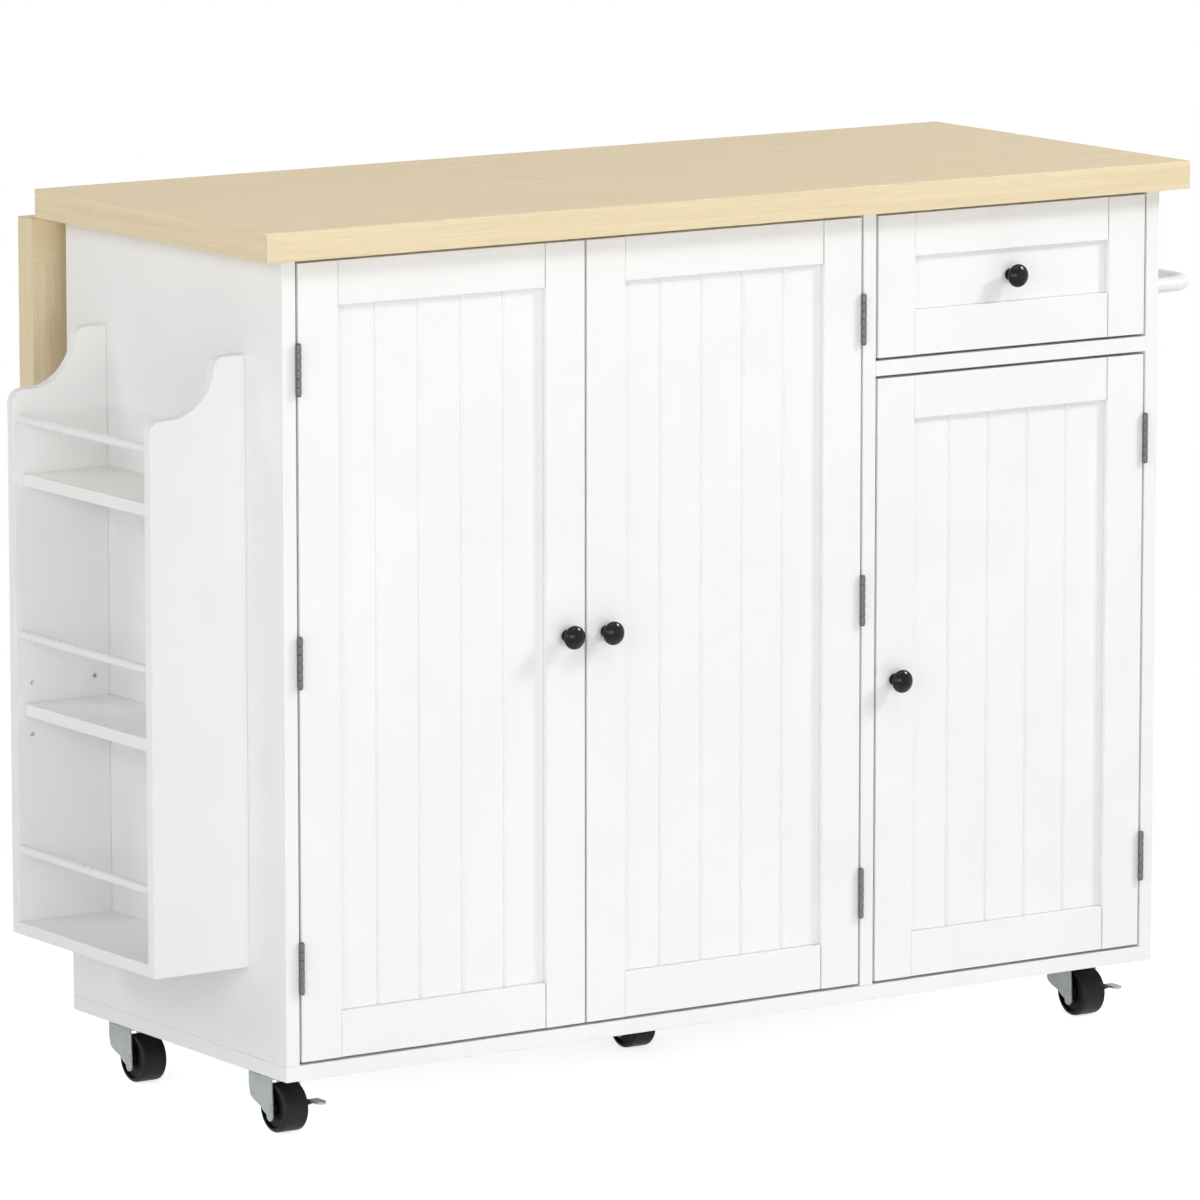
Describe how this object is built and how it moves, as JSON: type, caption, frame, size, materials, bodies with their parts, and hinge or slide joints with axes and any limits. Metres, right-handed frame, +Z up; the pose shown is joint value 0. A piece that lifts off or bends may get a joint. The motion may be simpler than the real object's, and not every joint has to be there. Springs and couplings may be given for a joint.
{
  "type": "kitchen island",
  "caption": "Kitchen island on casters: wooden worktop, hinged drop leaf, beaded doors, drawer, side spice rack and towel bar.",
  "frame": {"origin": "middle of the whole island's footprint, on the floor, with the leaf hanging", "axes": "+X runs right along the front, +Y runs from the doors to the hanging leaf, +Z up"},
  "size_m": [1.2846, 0.4992, 0.9335],
  "materials": {
    "white_paint": "satin white paint on board",
    "oak": "clear satin lacquer",
    "raw_birch": "unfinished sanded wood",
    "white_steel": "white powder coat",
    "zinc": "bright zinc plate",
    "pewter": "pewter plate",
    "black_gloss": "gloss black",
    "black_plastic": "black nylon",
    "white_plastic": "moulded plastic"
  },
  "bodies": {
    "cabinet": {"worktop_panel": "oak", "worktop_border": "oak", "side_panel_left": "white_paint", "side_panel_right": "white_paint", "divider_panel": "white_paint", "base_panel": "white_paint", "back_panel": "white_paint", "drawer_rail": "white_paint", "top_rails": "white_paint", "cabinet_shelves": "white_paint", "shelf_pins": "zinc", "rack_side_front": "white_paint", "rack_side_back": "white_paint", "rack_shelf_upper": "white_paint", "rack_shelf_middle": "white_paint", "rack_shelf_bottom": "white_paint", "rack_rods": "white_steel", "towel_bar": "white_steel", "caster_plates": "zinc", "hinge_leaves_cabinet": "pewter", "hinge_pins": "pewter", "magnetic_catches": "white_plastic", "drawer_runners_cabinet": "white_steel", "leaf_hinge_leaves_top": "pewter", "prop_brackets": "white_steel"},
    "door_left": {"door_left_frame": "white_paint", "door_left_panel": "white_paint", "door_left_knob": "black_gloss", "door_left_hardware": "pewter"},
    "door_middle": {"door_middle_frame": "white_paint", "door_middle_panel": "white_paint", "door_middle_knob": "black_gloss", "door_middle_hardware": "pewter"},
    "door_right": {"door_right_frame": "white_paint", "door_right_panel": "white_paint", "door_right_knob": "black_gloss", "door_right_hardware": "pewter"},
    "drawer": {"drawer_front": "white_paint", "drawer_front_panel": "white_paint", "drawer_box": "raw_birch", "drawer_bottom": "white_paint", "drawer_knob": "black_gloss", "drawer_runner_members": "white_steel"},
    "leaf": {"leaf_panel": "oak", "leaf_border": "oak", "leaf_hinge_leaves": "pewter", "prop_saddles": "white_plastic"},
    "prop": {"leaf_prop": "oak"},
    "fork_front_left": {"caster_fork_front_left": "zinc"},
    "wheel_front_left": {"caster_wheel_front_left": "black_plastic"},
    "fork_front_right": {"caster_fork_front_right": "zinc"},
    "wheel_front_right": {"caster_wheel_front_right": "black_plastic"},
    "fork_back_left": {"caster_fork_back_left": "zinc"},
    "wheel_back_left": {"caster_wheel_back_left": "black_plastic"},
    "fork_back_right": {"caster_fork_back_right": "zinc"},
    "wheel_back_right": {"caster_wheel_back_right": "black_plastic"},
    "fork_middle": {"caster_fork_middle": "zinc"},
    "wheel_middle": {"caster_wheel_middle": "black_plastic"},
    "pedal_left": {"brake_pedal_left": "zinc"},
    "pedal_right": {"brake_pedal_right": "zinc"}
  },
  "joints": [
    {"name": "door_left_hinge", "type": "hinge", "parent": "cabinet", "child": "door_left", "pos_m": [-0.51325, -0.2306, 0.492], "axis": [0, 0, -1], "range_deg": [0, 110]},
    {"name": "door_middle_hinge", "type": "hinge", "parent": "cabinet", "child": "door_middle", "pos_m": [0.17775, -0.2306, 0.492], "axis": [0, 0, 1], "range_deg": [0, 90]},
    {"name": "door_right_hinge", "type": "hinge", "parent": "cabinet", "child": "door_right", "pos_m": [0.54675, -0.2306, 0.406], "axis": [0, 0, 1], "range_deg": [0, 110]},
    {"name": "drawer_slide", "type": "slide", "parent": "cabinet", "child": "drawer", "axis": [0, -1, 0], "range_m": [0, 0.28]},
    {"name": "leaf_hinge", "type": "hinge", "parent": "cabinet", "child": "leaf", "pos_m": [0.01675, 0.2169, 0.9008], "axis": [1, 0, 0], "range_deg": [0, 90]},
    {"name": "prop_hinge", "type": "hinge", "parent": "cabinet", "child": "prop", "pos_m": [0.01675, 0.2079, 0.7958], "axis": [1, 0, 0], "range_deg": [0, 130.69]},
    {"name": "swivel_front_left", "type": "hinge", "parent": "cabinet", "child": "fork_front_left", "pos_m": [-0.49175, -0.1416, 0.055], "axis": [0, 0, 1], "continuous": true},
    {"name": "wheel_spin_front_left", "type": "hinge", "parent": "fork_front_left", "child": "wheel_front_left", "pos_m": [-0.49175, -0.1596, 0.0255], "axis": [1, 0, 0], "continuous": true},
    {"name": "swivel_front_right", "type": "hinge", "parent": "cabinet", "child": "fork_front_right", "pos_m": [0.52175, -0.1416, 0.055], "axis": [0, 0, 1], "continuous": true},
    {"name": "wheel_spin_front_right", "type": "hinge", "parent": "fork_front_right", "child": "wheel_front_right", "pos_m": [0.52175, -0.1596, 0.0255], "axis": [1, 0, 0], "continuous": true},
    {"name": "swivel_back_left", "type": "hinge", "parent": "cabinet", "child": "fork_back_left", "pos_m": [-0.49175, 0.1394, 0.055], "axis": [0, 0, 1], "continuous": true},
    {"name": "wheel_spin_back_left", "type": "hinge", "parent": "fork_back_left", "child": "wheel_back_left", "pos_m": [-0.49175, 0.1214, 0.0255], "axis": [1, 0, 0], "continuous": true},
    {"name": "swivel_back_right", "type": "hinge", "parent": "cabinet", "child": "fork_back_right", "pos_m": [0.52175, 0.1394, 0.055], "axis": [0, 0, 1], "continuous": true},
    {"name": "wheel_spin_back_right", "type": "hinge", "parent": "fork_back_right", "child": "wheel_back_right", "pos_m": [0.52175, 0.1214, 0.0255], "axis": [1, 0, 0], "continuous": true},
    {"name": "swivel_middle", "type": "hinge", "parent": "cabinet", "child": "fork_middle", "pos_m": [0.02725, -0.0056, 0.055], "axis": [0, 0, 1], "continuous": true},
    {"name": "wheel_spin_middle", "type": "hinge", "parent": "fork_middle", "child": "wheel_middle", "pos_m": [0.02725, -0.0236, 0.0255], "axis": [1, 0, 0], "continuous": true},
    {"name": "brake_pedal_left", "type": "hinge", "parent": "fork_front_left", "child": "pedal_left", "pos_m": [-0.49175, -0.1596, 0.0255], "axis": [1, 0, 0], "range_deg": [0, 15]},
    {"name": "brake_pedal_right", "type": "hinge", "parent": "fork_front_right", "child": "pedal_right", "pos_m": [0.52175, -0.1596, 0.0255], "axis": [1, 0, 0], "range_deg": [0, 15]}
  ],
  "couplings": [
    {"joint": "prop_hinge", "follows": "leaf_hinge", "ratio": 1.4521}
  ]
}
